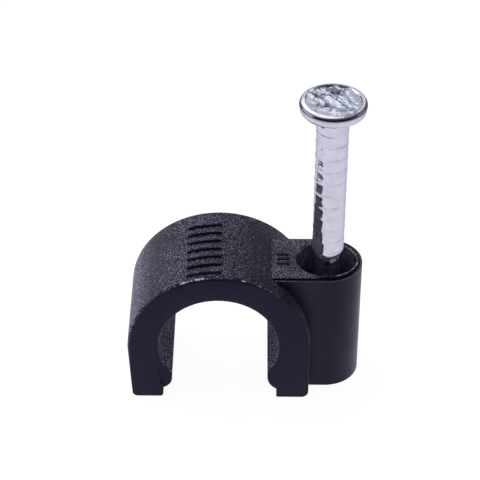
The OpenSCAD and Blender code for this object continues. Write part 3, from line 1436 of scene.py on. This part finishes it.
@dataclass(frozen=True)
class Lamp:
    """A soft lamp that looks at the clip. Lengths in millimetres, power in watts."""

    name: str
    place: Point
    size: Flat
    power: float
    colour: Colour = (0.96, 0.92, 1.0)

    def hang(self) -> None:
        """Hangs the lamp in its place."""
        light = bpy.data.lights.new(self.name, "AREA")
        light.shape = "RECTANGLE"
        light.size = self.size[0] * MM
        light.size_y = self.size[1] * MM
        light.color = self.colour
        light.energy = self.power
        lamp = bpy.data.objects.new(self.name, light)
        bpy.context.scene.collection.objects.link(lamp)
        lamp.location = Vector(self.place) * MM
        lamp.rotation_mode = "QUATERNION"
        lamp.rotation_quaternion = (-Vector(self.place)).to_track_quat("-Z", "Y")


@dataclass
class Studio:
    """A white table, soft light and the camera. Lengths in millimetres, angles in degrees."""

    floor_z: float = -SEAT_H
    table_size: float = 3000.0
    table_lit: Colour = (0.80, 0.80, 0.82)
    table_faint: Colour = (0.10, 0.10, 0.10)
    table_glow: float = 0.95
    mirrored: Colour = (0.90, 0.88, 1.0)
    white: Colour = (1.0, 1.0, 1.0)
    dim: Colour = (0.02, 0.02, 0.03)
    bright: Colour = (0.40, 0.395, 0.45)
    front_span: Flat = (-0.75, -0.1)
    high_span: Flat = (0.45, 0.75)
    eye: Point = (1.800, -82.166, 68.092)
    azimuth: float = 0.443
    elevation: float = 37.371
    roll: float = 0.222
    focal_px: float = 1851.58
    image_px: float = 480.0
    sensor: float = 36.0
    lamps: tuple[Lamp, ...] = (
        Lamp("top", (-140.0, 100.0, 240.0), (380.0, 300.0), 0.42),
        Lamp("back", (-40.0, 330.0, 200.0), (460.0, 320.0), 0.28),
        Lamp("left", (-250.0, 20.0, 70.0), (240.0, 140.0), 0.40),
        Lamp("right", (230.0, 40.0, 60.0), (160.0, 100.0), 0.08),
    )

    def camera(self) -> None:
        """Sets the camera where the photograph was taken."""
        a, e, r = (math.radians(v) for v in (self.azimuth, self.elevation, self.roll))
        back = Vector((math.sin(a) * math.cos(e), -math.cos(a) * math.cos(e), math.sin(e)))
        right = Vector((math.cos(a), math.sin(a), 0.0))
        up = back.cross(right)
        across = right * math.cos(r) + up * math.sin(r)
        above = up * math.cos(r) - right * math.sin(r)
        lens = bpy.data.cameras.new("camera")
        lens.sensor_width = self.sensor
        lens.lens = self.focal_px / self.image_px * self.sensor
        lens.clip_start = 0.01
        lens.clip_end = 10.0
        camera = bpy.data.objects.new("camera", lens)
        bpy.context.scene.collection.objects.link(camera)
        turn = Matrix((across, above, back)).transposed().to_4x4()
        camera.matrix_world = Matrix.Translation(Vector(self.eye) * MM) @ turn
        bpy.context.scene.camera = camera

    def table(self) -> None:
        """Lays a white table that keeps the object's soft shadow, and glows where it is seen or mirrored."""
        Bench.clear()
        bpy.ops.mesh.primitive_plane_add(size=self.table_size * MM, location=(0.0, 0.0, self.floor_z * MM))
        table = bpy.context.object
        table.name = "table"
        material, graph = Graph.material("white_table")
        path = graph.node("ShaderNodeLightPath")
        seen = graph.math("MAXIMUM", path.outputs["Is Camera Ray"], path.outputs["Is Glossy Ray"])
        lit = graph.node("ShaderNodeBsdfDiffuse", sockets={"Color": (*self.table_lit, 1.0)})
        faint = graph.node("ShaderNodeBsdfDiffuse", sockets={"Color": (*self.table_faint, 1.0)})
        glow = graph.node("ShaderNodeEmission", sockets={"Strength": self.table_glow})
        tone = graph.blend(path.outputs["Is Camera Ray"], self.mirrored, self.white)
        graph.link(tone, glow.inputs["Color"])
        both = graph.node("ShaderNodeAddShader")
        graph.link(faint.outputs[0], both.inputs[0])
        graph.link(glow.outputs[0], both.inputs[1])
        mix = graph.node("ShaderNodeMixShader")
        graph.link(seen, mix.inputs["Fac"])
        graph.link(lit.outputs[0], mix.inputs[1])
        graph.link(both.outputs[0], mix.inputs[2])
        graph.show(mix.outputs[0])
        table.data.materials.append(material)

    def surround(self) -> None:
        """Fills the room with soft light, dim low in front, and shows a white background."""
        world = bpy.data.worlds.new("studio")
        bpy.context.scene.world = world
        world.use_nodes = True
        graph = Graph(world.node_tree)
        path = graph.node("ShaderNodeLightPath")
        way = graph.axes(graph.node("ShaderNodeTexCoord").outputs["Generated"])
        front = graph.span(way.outputs["Y"], *self.front_span)
        high = graph.span(way.outputs["Z"], *self.high_span)
        colour = graph.ramp(graph.math("MAXIMUM", front, high), [(0.0, self.dim), (1.0, self.bright)])
        room = graph.node("ShaderNodeBackground", sockets={"Strength": 1.0})
        graph.link(colour, room.inputs["Color"])
        plain = graph.node("ShaderNodeBackground", sockets={"Color": (*self.white, 1.0), "Strength": 1.0})
        mix = graph.node("ShaderNodeMixShader")
        graph.link(path.outputs["Is Camera Ray"], mix.inputs["Fac"])
        graph.link(room.outputs[0], mix.inputs[1])
        graph.link(plain.outputs[0], mix.inputs[2])
        graph.show(mix.outputs[0], "ShaderNodeOutputWorld")

    def build(self) -> None:
        """Sets up the camera, the table and the light."""
        bpy.context.scene.view_settings.view_transform = "Standard"
        self.camera()
        self.table()
        self.surround()
        for lamp in self.lamps:
            lamp.hang()


def main() -> None:
    """Builds the clip, the nail and the studio in order."""
    logging.basicConfig(level=logging.INFO, format="%(name)s: %(message)s")
    grain = MouldGrain().make()
    clip = Clip()
    clip.build()
    clip.dress({face: finish.make(grain) for face, finish in FINISHES.items()})
    log.info("%s: %d faces", clip.piece.name, len(clip.piece.data.polygons))
    nail = Nail()
    nail.build()
    nail.dress(Zinc().make())
    log.info("%s: %d faces", nail.piece.name, len(nail.piece.data.polygons))
    Studio().build()


if __name__ == "__main__":
    main()
